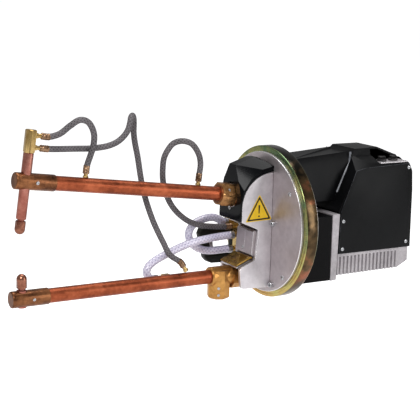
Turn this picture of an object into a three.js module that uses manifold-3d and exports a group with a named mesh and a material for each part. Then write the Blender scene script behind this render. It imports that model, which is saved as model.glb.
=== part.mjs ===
// Portable spot-welding gun with an integral transformer, hung in a turning suspension ring.
// Millimetres, +Z up. Origin: centre of the suspension ring. The arms point along -X,
// the operator's left side is -Y, the transformer and its housing are on +X.
import * as THREE from 'three';
import { ConvexGeometry } from 'three/addons/geometries/ConvexGeometry.js';
import { mergeVertices } from 'three/addons/utils/BufferGeometryUtils.js';
import Module from 'manifold-3d';

const wasm = await Module();
wasm.setup();
const { Manifold, Mesh: SolidMesh } = wasm;

// ---- driving dimensions -------------------------------------------------------------
const GAP = 0.3;                 // clearance between pieces that meet
const RING_R = 166.5;            // suspension ring, outside radius
const RING_BORE = 150;
const RING_HALF = 14;            // half its width along X
const DISC_R = 154;              // front disc, which keeps the ring on its hub
const DISC_FRONT = -20;
const DISC_BACK = -12;
const HUB_R = RING_BORE - 0.4;
const PLATE_OUT = 41;            // side plates of the nose, outer and inner faces (|y|)
const PLATE_IN = 33;
const PIVOT = [-42, 42];         // rocker pivot (x, z)
const ARC = [-22, 40];           // centre of the nose's round shoulder (x, z)
const ARC_R = 75;
const PIN_R = 9;
const OPEN_DEG = 7.16;           // how far the upper arm stands open at rest
const CLOSE_DEG = 8.45;          // how far it turns until the electrode caps meet
const ARM_R = 15;                // both arm tubes
const ARM_Z = 16.1;              // upper arm axis above the pivot, in the arm's own frame
const END_R = 17;                // end holders
const SHAFT_R = 10.5;            // electrode shaft
const EL_X = -539;               // upper electrode, in the arm's own frame
const HEAD_TURN = THREE.MathUtils.degToRad(-10); // which way its hose fittings face
const LOW_Z = -111;              // lower arm axis
const LOW_EL_X = -583;           // lower electrode
const TIP_LOW_Z = -60.4;         // top of the lower electrode cap
const BODY_Y = 84;               // half width of the rear body, without its side panels
const PANEL_T = 2.7;
const HOSE_R = 6.2;              // braided hoses, outside radius
const CLEAR_R = 8.4;             // clear water hoses, outside radius

// ---- materials ------------------------------------------------------------------------
const mat = (color, metalness, roughness) =>
  new THREE.MeshStandardMaterial({ color, metalness, roughness });
const STEEL = mat(0xb8b8ba, 0.9, 0.35);
const ZINC = mat(0xb9a24a, 0.8, 0.4);
const ALU = mat(0xcfcacc, 0.8, 0.45);
const CAST = mat(0x96918f, 0.5, 0.6);
const COPPER = mat(0xb9653c, 0.9, 0.4);
const BRONZE = mat(0xb08850, 0.85, 0.4);
const BRASS = mat(0xc9a85a, 0.9, 0.35);
const BLACK = mat(0x1b1d20, 0.0, 0.45);
const RUBBER = mat(0x57565a, 0.0, 0.85);
const CLEAR = mat(0xc2bce0, 0.0, 0.3);
const YELLOW = mat(0xf2d21c, 0.0, 0.5);

// ---- helpers ----------------------------------------------------------------------------
// turn every face over when the closed surface encloses a negative volume
function facingOut(g) {
  const p = g.attributes.position;
  const ix = g.index.array;
  const [a, b, c] = [new THREE.Vector3(), new THREE.Vector3(), new THREE.Vector3()];
  let volume = 0;
  for (let i = 0; i < ix.length; i += 3) {
    a.fromBufferAttribute(p, ix[i]);
    b.fromBufferAttribute(p, ix[i + 1]);
    c.fromBufferAttribute(p, ix[i + 2]);
    volume += a.dot(b.cross(c));
  }
  if (volume < 0) for (let i = 0; i < ix.length; i += 3) [ix[i], ix[i + 1]] = [ix[i + 1], ix[i]];
  return g;
}

function solid(geometry) {
  const g = geometry.clone();
  for (const name of Object.keys(g.attributes)) if (name !== 'position') g.deleteAttribute(name);
  const m = facingOut(mergeVertices(g, 1e-4));
  const mesh = new SolidMesh({
    numProp: 3,
    vertProperties: new Float32Array(m.attributes.position.array),
    triVerts: new Uint32Array(m.index.array),
  });
  mesh.merge();
  return new Manifold(mesh);
}

function geometryOf(manifold) {
  const m = manifold.getMesh();
  const g = new THREE.BufferGeometry();
  g.setAttribute('position', new THREE.BufferAttribute(new Float32Array(m.vertProperties), 3));
  g.setIndex(new THREE.BufferAttribute(new Uint32Array(m.triVerts), 1));
  return g;
}

const cut = (a, ...more) => more.reduce((s, b) => s.subtract(b), a);
const join = (a, ...more) => more.reduce((s, b) => s.add(b), a);

function boxGeo(x0, x1, y0, y1, z0, z1) {
  const g = new THREE.BoxGeometry(x1 - x0, y1 - y0, z1 - z0);
  return g.translate((x0 + x1) / 2, (y0 + y1) / 2, (z0 + z1) / 2);
}
const box = (...a) => solid(boxGeo(...a));

// a round bar between two points
function barGeo(from, to, radius, sides = 32, radius2 = radius) {
  const a = new THREE.Vector3(...from);
  const b = new THREE.Vector3(...to);
  const dir = b.clone().sub(a);
  const g = new THREE.CylinderGeometry(radius2, radius, dir.length(), sides);
  const q = new THREE.Quaternion().setFromUnitVectors(new THREE.Vector3(0, 1, 0),
    dir.clone().normalize());
  return g.applyQuaternion(q).translate(...a.add(b).multiplyScalar(0.5).toArray());
}
const bar = (...a) => solid(barGeo(...a));

// a flat outline given in (x, z), as a slab between two values of y
function slabYGeo(points, y0, y1, bevel = 0) {
  const shape = Array.isArray(points)
    ? new THREE.Shape(points.map(([x, z]) => new THREE.Vector2(x, z))) : points;
  const g = new THREE.ExtrudeGeometry(shape, {
    depth: y1 - y0 - 2 * bevel, bevelEnabled: bevel > 0, bevelThickness: bevel,
    bevelSize: bevel, bevelOffset: -bevel, bevelSegments: 2, curveSegments: 8,
  });
  const turn = new THREE.Matrix4().makeBasis(new THREE.Vector3(1, 0, 0),
    new THREE.Vector3(0, 0, 1), new THREE.Vector3(0, -1, 0));
  return g.applyMatrix4(turn).translate(0, y1 - bevel, 0);
}
const slabY = (...a) => solid(slabYGeo(...a));

// a profile of (x, radius) pairs turned about the X axis
function turnedX(profile, y, z, sides = 48) {
  const g = new THREE.LatheGeometry(profile.map(([x, r]) => new THREE.Vector2(r, x)), sides);
  return solid(g.rotateZ(-Math.PI / 2).translate(0, y, z));
}

// a profile of (z, radius) pairs turned about a vertical line
function turnedZ(profile, x, y, sides = 24) {
  const g = new THREE.LatheGeometry(profile.map(([z, r]) => new THREE.Vector2(r, z)), sides);
  return solid(g.rotateX(Math.PI / 2).scale(1, -1, 1).translate(x, y, 0));
}

function hull(points) {
  return solid(new ConvexGeometry(points.map((p) => new THREE.Vector3(...p))));
}

// the same points on both sides of the XZ plane
const bothSides = (list) => list.flatMap(([x, y, z]) => [[x, y, z], [x, -y, z]]);

const group = new THREE.Group();
group.name = 'spot_welding_gun';
function add(name, shape, material, matrix = null) {
  const g = shape.isBufferGeometry ? shape.clone() : geometryOf(shape);
  if (matrix) g.applyMatrix4(matrix);
  const mesh = new THREE.Mesh(g, material);
  mesh.name = name;
  group.add(mesh);
}

// the upper arm's own frame: origin on the pivot, -X along the arm
const ARM_FRAME = new THREE.Matrix4().makeTranslation(PIVOT[0], 0, PIVOT[1])
  .multiply(new THREE.Matrix4().makeRotationY(THREE.MathUtils.degToRad(OPEN_DEG)));
const onArm = (x, y, z) => new THREE.Vector3(x, y, z).applyMatrix4(ARM_FRAME).toArray();

// ---- suspension ring and front disc ------------------------------------------------------
function suspensionRing() {
  const c = 1.2;
  return turnedX([[-RING_HALF, RING_BORE], [RING_HALF, RING_BORE], [RING_HALF, RING_R - c],
    [RING_HALF - c, RING_R], [-RING_HALF + c, RING_R], [-RING_HALF, RING_R - c],
    [-RING_HALF, RING_BORE]], 0, 0, 96);
}

function frontDisc() {
  const body = turnedX([[DISC_FRONT, 0], [DISC_FRONT, DISC_R - 0.8], [DISC_FRONT + 0.8, DISC_R],
    [-RING_HALF - GAP, DISC_R], [-RING_HALF - GAP, HUB_R], [RING_HALF + GAP, HUB_R],
    [RING_HALF + GAP, HUB_R - 10], [DISC_BACK, HUB_R - 10], [DISC_BACK, 0]], 0, 0, 96);
  const rodHole = bar([DISC_FRONT - 1, 0, 97], [DISC_BACK + 1, 0, 97], 17, 32);
  const hubPocket = box(DISC_FRONT - 1, DISC_FRONT + 3.5, -31, 31, 12, 72);
  const conductor = box(DISC_FRONT - 1, DISC_BACK + 1, -28.5, 28.5, -122.5, -97.5);
  return cut(body, rodHole, hubPocket, conductor);
}

// ---- nose -----------------------------------------------------------------------------------
function arcPoints(cx, cz, r, from, to, n) {
  return Array.from({ length: n + 1 }, (_, i) => {
    const a = THREE.MathUtils.degToRad(from + (to - from) * i / n);
    return [cx + r * Math.cos(a), cz + r * Math.sin(a)];
  });
}
const NOSE_BACK = DISC_FRONT - GAP;
function noseOutline(grow = 0) {
  const r = ARC_R + grow;
  return [[NOSE_BACK, ARC[1] + Math.sqrt(r ** 2 - (NOSE_BACK - ARC[0]) ** 2)],
    ...arcPoints(ARC[0], ARC[1], r, 93, 180, 14), [-96.7 - grow, 13], [-94.5 - grow, 9.2], [-56, -7.5],
    [-53.5, -10], [-60, -72], [-62, -75], [-94, -88], [-98, -93], [-95, -130], [-92, -134],
    [-88, -136], [NOSE_BACK, -138]];
}
function sidePlate(side) {
  const [a, b] = side < 0 ? [-PLATE_OUT, -PLATE_IN] : [PLATE_IN, PLATE_OUT];
  const inner = side * PLATE_IN;
  const seat = bar([PIVOT[0], inner - side, PIVOT[1]], [PIVOT[0], inner + side * 4, PIVOT[1]],
    PIN_R + GAP, 24);
  const blank = slabY(noseOutline(), a, b, 0.8);
  return cut(blank, seat);
}

function rocker() {
  const hub = bar([0, -30, 0], [0, 30, 0], 24, 36);
  const web = hull(bothSides([[-4, 30, 20], [-4, 30, -12], [-30, 26, ARM_Z + 20],
    [-30, 26, ARM_Z - 22], [-16, 30, 22], [-16, 30, -16]]));
  const boss = bar([-53, 0, ARM_Z], [-22, 0, ARM_Z], 23, 36);
  const neck = bar([-78, 0, ARM_Z], [-52, 0, ARM_Z], 19.5, 36);
  const cheek = (y0, y1) => slabY([[-16, 10], [12, 10], [-1, 56], [-6, 62], [-15, 62], [-20, 56]],
    y0, y1);
  const body = join(hub, web, boss, neck, cheek(10, 21), cheek(-21, -10));
  const pin = bar([-10.8, -20, 54.1], [-10.8, 20, 54.1], 5, 20);
  const bore = bar([0, -31, 0], [0, 31, 0], PIN_R + GAP, 24);
  const socket = bar([-80, 0, ARM_Z], [-40, 0, ARM_Z], ARM_R + GAP, 32);
  const space = box(-24, 24, -10, 10, 26, 64);
  return join(cut(body, bore, socket, space), pin);
}

function hood() {
  const outer = hull(bothSides([[-21.5, 44, 118], [-21.5, 44, 129], [-50, 44, 123],
    [-78, 44, 103], [-95, 44, 80], [-100.5, 44, 56], [-102, 44, 18], [-101, 44, 12],
    [-21.5, 14, 135], [-44, 12, 145], [-58, 12, 144.5], [-99, 12, 131.5], [-101, 30, 98],
    [-101.5, 36, 60], [-21.5, 44, 12]]));
  const inner = hull(bothSides([[-17, 40, 115], [-17, 40, 124.5], [-49, 40, 118.5],
    [-75, 40, 99.5], [-91, 40, 78], [-96.5, 40, 54], [-98, 40, 20], [-98, 40, 8],
    [-17, 12, 131], [-44, 9, 140.5], [-58, 9, 140], [-95, 9, 127], [-97, 27, 95],
    [-97.7, 32, 60], [-17, 40, 8]]));
  const shoulder = bar([ARC[0], -60, ARC[1]], [ARC[0], 60, ARC[1]], ARC_R + 3, 64);
  const skirt = box(-99.2, 0, -60, 60, -10, ARC[1]);
  const clear = bar(onArm(-102, 0, ARM_Z), onArm(-57, 0, ARM_Z), 27.7, 48);
  // room for the side plates, seen from the hood as it turns down with the arm
  const swept = [-1, 1].flatMap((side) => [0, 0.2, 0.4, 0.6, 0.8, 1].map((t) => {
    const ys = side < 0 ? [-PLATE_OUT - 0.4, -PLATE_IN + 0.4] : [PLATE_IN - 0.4, PLATE_OUT + 0.4];
    const g = slabYGeo(noseOutline(0.4), ...ys).translate(-PIVOT[0], 0, -PIVOT[1]);
    g.rotateY(THREE.MathUtils.degToRad(CLOSE_DEG * t)).translate(PIVOT[0], 0, PIVOT[1]);
    return solid(g);
  }));
  return cut(outer, inner, shoulder, skirt, clear, ...swept);
}

function armNut() {
  const hex = new THREE.CylinderGeometry(27, 27, 35.5, 6).rotateZ(Math.PI / 2);
  const chamfer = turnedX([[-94.5, 0], [-94.5, 24.2], [-91.5, 27.2], [-62, 27.2],
    [-59.5, 25.2], [-59.5, 0]], 0, ARM_Z, 36);
  const blank = solid(hex.translate(-77, 0, ARM_Z)).intersect(chamfer);
  return cut(blank, bar([-99, 0, ARM_Z], [-55, 0, ARM_Z], ARM_R + GAP, 32),
    bar([-79, 0, ARM_Z], [-55, 0, ARM_Z], 19.5 + GAP, 36));
}

function endHolder(x0, x1, z, shaftX, tubeEnd) {
  const body = turnedX([[x0, 0], [x0, END_R - 2], [x0 + 0.8, END_R - 0.6], [x0 + 2.5, END_R],
    [x1 - 1, END_R], [x1, END_R - 1], [x1, 0]], 0, z, 36);
  const cross = bar([shaftX, 0, z - 30], [shaftX, 0, z + 30], SHAFT_R + GAP, 28);
  const socket = bar([tubeEnd, 0, z], [x1 + 5, 0, z], ARM_R + GAP, 32);
  return cut(body, cross, socket);
}

// an electrode cap with its wrench flats, domed towards -Z
function electrodeCap(x, zTop, length, sign) {
  const r = 10.6;
  const profile = [[0, 0], [0, r - 1.5], [1.5, r], [length * 0.66, r], [length * 0.84, r * 0.86],
    [length * 0.96, r * 0.45], [length, 0]].map(([d, q]) => [zTop + sign * d, q]);
  const list = sign > 0 ? profile : profile.reverse();
  const body = turnedZ(list, x, 0, 28);
  const flats = [9.7, -9.7].map((o) => {
    const a = Math.min(zTop + sign * 2, zTop + sign * length * 0.6);
    const b = Math.max(zTop + sign * 2, zTop + sign * length * 0.6);
    return o > 0 ? box(x - 20, x + 20, o, o + 10, a, b) : box(x - 20, x + 20, o - 10, o, a, b);
  });
  return cut(body, ...flats);
}

// a hose fitting: hexagon, shank and collar along a direction
function fitting(from, to, hexR, shankR) {
  const a = new THREE.Vector3(...from);
  const b = new THREE.Vector3(...to);
  const at = (t) => a.clone().lerp(b, t).toArray();
  return join(bar(at(0), at(0.45), hexR, 6), bar(at(0.4), at(1), shankR, 16));
}

// ---- upper arm, drawn in its own frame ----------------------------------------------------
add('suspension_ring', suspensionRing(), ZINC);
add('front_disc', frontDisc(), ALU);
add('rear_retainer', cut(bar([14.6, 0, 0], [20, 0, 0], 158, 72),
  bar([10, 0, 0], [25, 0, 0], 137, 60)), ALU);
add('side_plate_left', sidePlate(-1), ALU);
add('side_plate_right', sidePlate(1), ALU);
add('pivot_pin', bar([PIVOT[0], -36.6, PIVOT[1]], [PIVOT[0], 36.6, PIVOT[1]], PIN_R, 24), STEEL);

add('rocker', rocker(), BRONZE, ARM_FRAME);
add('hood', hood(), BLACK);
add('arm_nut', armNut(), BRONZE, ARM_FRAME);
add('upper_arm_tube', bar([-497, 0, ARM_Z], [-41, 0, ARM_Z], ARM_R, 32), COPPER, ARM_FRAME);
add('upper_end_holder', endHolder(-562.8, -477.1, ARM_Z, EL_X, -497.4), BRONZE, ARM_FRAME);
add('electrode_shaft', turnedZ([[-62, 0], [-62, 7], [-60.5, 7], [-59, SHAFT_R],
  [72.4, SHAFT_R], [72.4, 0]], EL_X, 0, 28), COPPER, ARM_FRAME);
add('electrode_head', new THREE.CylinderGeometry(12.2, 12.2, 45.5, 6)
  .rotateX(Math.PI / 2).rotateZ(HEAD_TURN).translate(EL_X, 0, 95.45), BRASS, ARM_FRAME);
add('upper_electrode_cap', electrodeCap(EL_X, -62.3, 27.1, -1), COPPER, ARM_FRAME);

const HEAD_FACE = 12.2 * Math.cos(Math.PI / 6) + GAP;
const HEAD_FITS = [107.2, 83.4];
const HEAD_FIT = 10;             // how far a fitting stands out of the head, and out of an arm
const ARM_FIT = 8;
const offHead = (d, z) => [EL_X + d * Math.cos(HEAD_TURN), d * Math.sin(HEAD_TURN), z];
HEAD_FITS.forEach((z, i) => {
  add(`head_fitting_${i + 1}`, fitting(offHead(HEAD_FACE, z), offHead(HEAD_FACE + HEAD_FIT, z), 5.6, 4.4),
    BRASS, ARM_FRAME);
});
const ARM_TOP = ARM_Z + ARM_R;
const ARM_FITS = [-410.5, -146.9];
ARM_FITS.forEach((x, i) => {
  add(`arm_fitting_${i + 1}`, fitting([x, 0, ARM_TOP + GAP], [x, 0, ARM_TOP + ARM_FIT], 5.6, 4.4),
    BRASS, ARM_FRAME);
});

// ---- cylinder and piston rod ------------------------------------------------------------------
const CYL_Z = 97;
add('air_cylinder', cut(bar([DISC_BACK + GAP, 0, CYL_Z], [88, 0, CYL_Z], 38, 40),
  bar([-6, 0, CYL_Z], [82, 0, CYL_Z], 30, 36), bar([-20, 0, CYL_Z], [0, 0, CYL_Z], 10, 24)), ALU);
function pistonRod() {
  const rod = join(bar([-36, 0, CYL_Z], [46, 0, CYL_Z], 9, 24),
    bar([32, 0, CYL_Z], [46, 0, CYL_Z], 29.6, 36), box(-58, -34, -9, 9, 86, 108));
  return cut(rod, box(-51.5, -40.5, -10, 10, 89.4, 110));
}
add('piston_rod', pistonRod(), STEEL);

// ---- nose front and lower arm --------------------------------------------------------------
add('front_cross_plate', slabYGeo([[-54, -14], [-57, -11], [-61, -14], [-65, -64], [-61, -68],
  [-58, -66]], -PLATE_IN + GAP, PLATE_IN - GAP), CAST);
function brassShield() {
  const sheet = slabY([[-62, -70.5], [-66, -68.2], [-101, -82.5], [-103, -86], [-100.5, -86],
    [-99, -84.8], [-65.5, -71.2], [-62.8, -73.2]], -PLATE_IN + GAP, PLATE_IN - GAP);
  const facet = hull([[-68, -31, -70.8], [-97, -31, -82.7], [-97, 4, -82.7], [-77, -8, -65],
    [-68, -31, -72.5], [-97, 4, -84]]);
  return join(sheet, facet);
}
add('brass_shield', brassShield(), BRASS);
add('contact_shoe', slabYGeo([[-66, -75.4], [-95, -87.2], [-99.6, -88], [-99.6, -91.8],
  [-94, -91.8], [-66, -82]], -30, 30), ALU);

function lowerHolder() {
  const post = turnedZ([[-160, 0], [-160, 20], [-156, 25], [-95, 25], [-92.5, 23], [-92.5, 0]],
    -126, 0, 8);
  const boss = turnedX([[-151, 0], [-151, 18.5], [-148, 21], [-100, 21], [-100, 0]], 0, LOW_Z, 36);
  const flange = solid(new THREE.CylinderGeometry(24, 24, 36, 8).rotateY(Math.PI / 8)
    .rotateZ(Math.PI / 2).translate(-82, 0, LOW_Z - 6));
  const roof = box(-150, 60, -40, 40, -96.2, -60);
  const socket = bar([-160, 0, LOW_Z], [-112, 0, LOW_Z], ARM_R + GAP, 32);
  return cut(join(cut(join(post, flange), roof), boss), socket);
}
add('lower_arm_holder', lowerHolder(), BRONZE);
add('lower_conductor', boxGeo(-63.7, 20.2, -28, 28, -122, -98), COPPER);
add('lower_arm_tube', barGeo([-541, 0, LOW_Z], [-112.4, 0, LOW_Z], ARM_R, 32), COPPER);
function lowerEndHolder() {
  const body = endHolder(-606.5, -526.6, LOW_Z, LOW_EL_X, -541.4);
  return body;
}
add('lower_end_holder', lowerEndHolder(), BRONZE);
add('lower_electrode', turnedZ([[-129, 0], [-129, SHAFT_R - 1], [-128, SHAFT_R],
  [-93.5, SHAFT_R], [-92, 7], [-89.8, 7], [-89.8, 0]], LOW_EL_X, 0, 28), COPPER);
add('lower_electrode_cap', electrodeCap(LOW_EL_X, -89.5, -89.5 - TIP_LOW_Z < 0
  ? TIP_LOW_Z + 89.5 : 29.1, 1), COPPER);
const LOW_FIT = [[-207, 0, LOW_Z + ARM_R + 3.3], [-213, 2, LOW_Z + ARM_R + 13]];
add('lower_arm_fitting', fitting(LOW_FIT[0], LOW_FIT[1], 5.6, 4.4), BRASS);
add('lower_arm_elbow', join(box(-250, -233, ARM_R + GAP, 34, LOW_Z - 8, LOW_Z + 9),
  bar([-262, 26, LOW_Z + 1], [-249, 26, LOW_Z + 1], 5.5, 16)), BRASS);

// ---- far side: hose manifold and handle -----------------------------------------------------
const PORTS = { loop_top: [80, -12], braid: [62, -19], supply: [53, -37], loop_low: [60, -69] };
function manifoldBlock() {
  let block = box(-48, NOSE_BACK, 45, 90, -82, 0);
  block = cut(block, box(-60, -34, 72, 100, -90, -28));
  for (const [y, z] of Object.values(PORTS)) {
    block = join(block, bar([-58, y, z], [-40, y, z], 5.6, 16));
  }
  return block;
}
add('hose_manifold', manifoldBlock(), BRASS);

const HANDLE_Y = [92, 112];
function sideHandle() {
  const outline = new THREE.Shape([[NOSE_BACK, -20], [-104, -22], [-116, -27], [-121, -38],
    [-106, -94], [-98, -103], [-88, -107], [NOSE_BACK, -110]]
    .map(([x, z]) => new THREE.Vector2(x, z)));
  outline.holes.push(new THREE.Path([[-36, -44], [-92, -44], [-98, -50], [-90, -80],
    [-82, -86], [-36, -88]].map(([x, z]) => new THREE.Vector2(x, z))));
  const body = slabY(outline, HANDLE_Y[0], HANDLE_Y[1], 3);
  return cut(body, box(-108.5, -88, 96, 108, -73, -52));
}
add('side_handle', sideHandle(), BLACK);
add('handle_trigger', slabYGeo([[-103, -54], [-88, -54], [-84, -60], [-82.5, -71], [-103, -71]],
  97, 107, 1), CAST);

// ---- transformer and rear housing ------------------------------------------------------------
add('transformer_block', boxGeo(20.5, 108.7, -86, 86, -127.5, 17.5), BLACK);
function rearFlange() {
  const plate = slabY([[109, 20], [128, 20], [124.5, -127.5], [105.5, -128.5]].map(
    ([x, z]) => [x, z]), -87, 87);
  return cut(plate, box(100, 109, -90, 90, -130, 22));
}
add('rear_flange', rearFlange(), CAST);

const HOUSING_BACK = 325;
function finnedHousing() {
  let body = slabY([[128.4, -70.4], [HOUSING_BACK, -70.4], [HOUSING_BACK, -102], [296, -116.5],
    [128.4, -118.5]], -BODY_Y, BODY_Y);
  body = cut(body, box(134, 304, -76, 76, -108, -60), box(300, 320, -76, 76, -98, -60));
  for (let i = 0; i < 16; i += 1) {
    const x = 133 + i * 10.3;
    for (const s of [-1, 1]) {
      const [a, b] = s < 0 ? [-BODY_Y - 1, -BODY_Y + 4] : [BODY_Y - 4, BODY_Y + 1];
      body = cut(body, box(x, x + 4.6, a, b, -121, -77));
    }
  }
  return body;
}
add('finned_housing', finnedHousing(), CAST);

function coverShell(t) {
  const y = BODY_Y - t;
  const z = t;
  const lean = t / 2;              // the front leans back, so the inside leans with it
  const rear = hull(bothSides([[128.4, y, -70], [128.4, y, 27 - z], [168 + lean, y, 112 - z],
    [192, y, 118 - z], [318 - t, y, 121 - z], [325 - t, y, 100], [326.5 - t, y, -70],
    [205, 76 - t, 127 - z], [318 - t, 76 - t, 127 - z], [176.4 + lean, 46 - t, 130 - z],
    [184, 40 - t, 143 - z], [316 - t, 44 - t, 135.5 - z], [322 - t, 40 - t, 130 - z]]));
  const hump = hull(bothSides([[180, 48 - t, 138 - z], [194, 42 - t, 155 - z],
    [262, 40 - t, 155 - z], [318 - t, 42 - t, 134 - z], [180, 48 - t, 60],
    [312 - t, 48 - t, 60]]));
  const neck = hull(bothSides([[20.5, 50 - t, 44 + t], [20.5, 50 - t, 118], [20.5, 38 - t, 139 - z],
    [185, 48 - t, 44 + t], [185, 48 - t, 128], [185, 38 - t, 150 - z]]));
  return join(rear, hump, neck);
}
function bodyCover() {
  const inner = coverShell(4);
  const shell = cut(coverShell(0), inner, box(132, 321, -78, 78, -75, -60),
    box(15, 25, -44, 44, 50, 112), box(120, 150, -42, 42, 50, 100));
  const recess = box(236, 321.5, -82, -34, 123.5, 160);
  const floor = box(232, 323, -83, -30, 118, 123.5).intersect(coverShell(0));
  return cut(join(shell, floor), recess);
}
add('body_cover', bodyCover(), BLACK);

function sidePanel(side) {
  const [a, b] = side < 0 ? [-BODY_Y - GAP - PANEL_T, -BODY_Y - GAP]
    : [BODY_Y + GAP, BODY_Y + GAP + PANEL_T];
  return slabY([[129, -70], [131.5, 27], [168, 113], [192, 118], [308, 122], [318, 119],
    [325, 104], [328, 60], [329, -70]], a, b, 0.9);
}
add('side_panel_left', sidePanel(-1), BLACK);
add('side_panel_right', sidePanel(1), BLACK);

add('connector_plate', boxGeo(240, 318, -79, -37, 123.8, 126), ALU);
const INLETS = [[259, -57], [291, -57]];
INLETS.forEach(([x, y], i) => {
  add(`supply_inlet_${i + 1}`, turnedZ([[126.3, 0], [126.3, 10.5], [130, 10.5], [131, 8.5],
    [137, 8.5], [137, 0]], x, y, 24), STEEL);
});

add('hot_surface_label', slabYGeo([[-54, 69], [-88, 10.2], [-20.8, 12.2]], -PLATE_OUT - GAP - 0.4,
  -PLATE_OUT - GAP), YELLOW);

// ---- hoses ---------------------------------------------------------------------------------------
function hose(points, radius, steps, sides = 10) {
  const ring = Array.from({ length: sides }, (_, i) => {
    const a = 2 * Math.PI * i / sides;
    return new THREE.Vector2(radius * Math.cos(a), radius * Math.sin(a));
  });
  const curve = new THREE.CatmullRomCurve3(points.map((p) => new THREE.Vector3(...p)), false,
    'centripetal');
  return new THREE.ExtrudeGeometry(new THREE.Shape(ring), { steps, extrudePath: curve,
    bevelEnabled: false });
}
const headEnd = (i) => onArm(...offHead(HEAD_FACE + HEAD_FIT + GAP, HEAD_FITS[i]));
const headLead = (i) => onArm(...offHead(HEAD_FACE + HEAD_FIT + 16, HEAD_FITS[i]));
const armEnd = (i) => onArm(ARM_FITS[i], 0, ARM_TOP + ARM_FIT + GAP);
const armLead = (i) => onArm(ARM_FITS[i], 0, ARM_TOP + ARM_FIT + 14);
add('hose_arm_loop', hose([headEnd(0), headLead(0), [-505, -8, 216.5], [-484, -9, 231],
  [-463, -10, 242], [-445, -10, 237], [-432, -9, 215], [-431, -6, 190], armLead(0),
  armEnd(0)], HOSE_R, 30), RUBBER);
const lowDir = LOW_FIT[1].map((v, i) => v - LOW_FIT[0][i]);
const lowEnd = LOW_FIT[1].map((v, i) => v + lowDir[i] * 0.03);
const lowLead = LOW_FIT[1].map((v, i) => v + lowDir[i]);
add('hose_front_return', hose([headEnd(1), headLead(1), [-464, 4, 183], [-425, 10, 181],
  [-389, 12, 184], [-368, 13, 191], [-352.7, 14, 202], [-342.7, 16, 213.7],
  [-335.8, 20, 228.4], [-330.5, 27, 237], [-322, 37, 240], [-313.5, 48, 233],
  [-309, 55, 219], [-307.6, 58, 202.8], [-305.2, 57, 181.8], [-300.5, 53, 152.6],
  [-294, 38, 83], [-276, 28, 20], [-253, 20, -31], [-239.3, 15, -57.6], lowLead, lowEnd],
HOSE_R, 60), RUBBER);
const portEnd = (k) => [-58 - GAP, ...PORTS[k]];
const portLead = (k, d = 12) => [-58 - d, ...PORTS[k]];
add('hose_rear_return', hose([armEnd(1), armLead(1), [-176, 4, 136], [-179, 8, 157],
  [-193, 14, 178], [-213, 20, 184], [-230, 26, 179], [-241, 30, 165], [-248, 33, 148],
  [-250, 34, 128], [-248, 35, 97], [-234, 36, 58], [-213, 40, 31], [-180, 46, 6],
  [-145, 52, -8], [-106, 58, -15], portLead('braid'), portEnd('braid')], HOSE_R, 46), RUBBER);
add('hose_clear_loop', hose([portEnd('loop_top'), portLead('loop_top', 8), [-96, 76, 1],
  [-124, 72, 1], [-146, 70, -6], [-160, 69, -18], [-164, 68, -33], [-156, 67, -51],
  [-140, 66, -63], [-120, 65, -69], [-100, 62, -70], portLead('loop_low', 14),
  portEnd('loop_low')],
CLEAR_R, 30, 12), CLEAR);
add('hose_clear_supply', hose([portEnd('supply'), portLead('supply', 14), [-129, 45, -38],
  [-168, 42, -42], [-201, 40, -50], [-236, 38, -62], [-264, 36, -72], [-280, 34, -84],
  [-286, 31, -97], [-279, 27, -107], [-270, 26, LOW_Z + 1], [-262.3, 26, LOW_Z + 1]],
CLEAR_R, 30, 12), CLEAR);

export default group;
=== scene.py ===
# %% [markdown]
# # A portable spot-welding gun
# The gun hangs in a turning ring. Two copper arms reach forward and close on the work, hoses
# carry cooling water and air, and the transformer sits in the black body behind the ring.
# The solid model brings every size and joint. This notebook gives each part the surface that
# it has on the real machine, and adds the small hardware: screws, ferrules, sleeves, folds.

# %% Load the frame
import math
import bpy
import bmesh
import numpy as np
from mathutils import Matrix, Vector


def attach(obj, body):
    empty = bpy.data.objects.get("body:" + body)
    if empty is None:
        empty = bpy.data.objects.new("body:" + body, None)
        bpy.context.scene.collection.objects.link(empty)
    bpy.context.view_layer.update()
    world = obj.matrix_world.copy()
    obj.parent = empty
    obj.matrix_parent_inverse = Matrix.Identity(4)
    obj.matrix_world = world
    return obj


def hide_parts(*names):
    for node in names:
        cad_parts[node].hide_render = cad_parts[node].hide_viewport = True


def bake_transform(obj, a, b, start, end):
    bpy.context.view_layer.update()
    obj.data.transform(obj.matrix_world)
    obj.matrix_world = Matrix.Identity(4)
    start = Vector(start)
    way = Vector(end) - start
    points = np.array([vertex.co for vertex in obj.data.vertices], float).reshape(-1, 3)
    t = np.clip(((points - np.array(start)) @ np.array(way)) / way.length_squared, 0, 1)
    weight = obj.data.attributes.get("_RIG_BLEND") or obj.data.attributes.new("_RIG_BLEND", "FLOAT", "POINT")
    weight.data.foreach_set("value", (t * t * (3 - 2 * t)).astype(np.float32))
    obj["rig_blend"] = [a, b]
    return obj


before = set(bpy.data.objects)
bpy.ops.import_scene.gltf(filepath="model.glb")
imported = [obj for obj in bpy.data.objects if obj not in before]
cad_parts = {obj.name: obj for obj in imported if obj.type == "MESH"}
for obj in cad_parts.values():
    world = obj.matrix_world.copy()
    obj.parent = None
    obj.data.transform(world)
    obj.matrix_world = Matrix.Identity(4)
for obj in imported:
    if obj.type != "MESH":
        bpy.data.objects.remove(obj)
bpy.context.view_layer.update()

# %% [markdown]
# ## Camera
# The machine is long, so it is seen from far away with a long lens, from its left and a
# little above. A long lens keeps both arms nearly parallel. The camera's axes are written out
# as the columns of a rotation, which is plainer than three turned angles.

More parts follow.
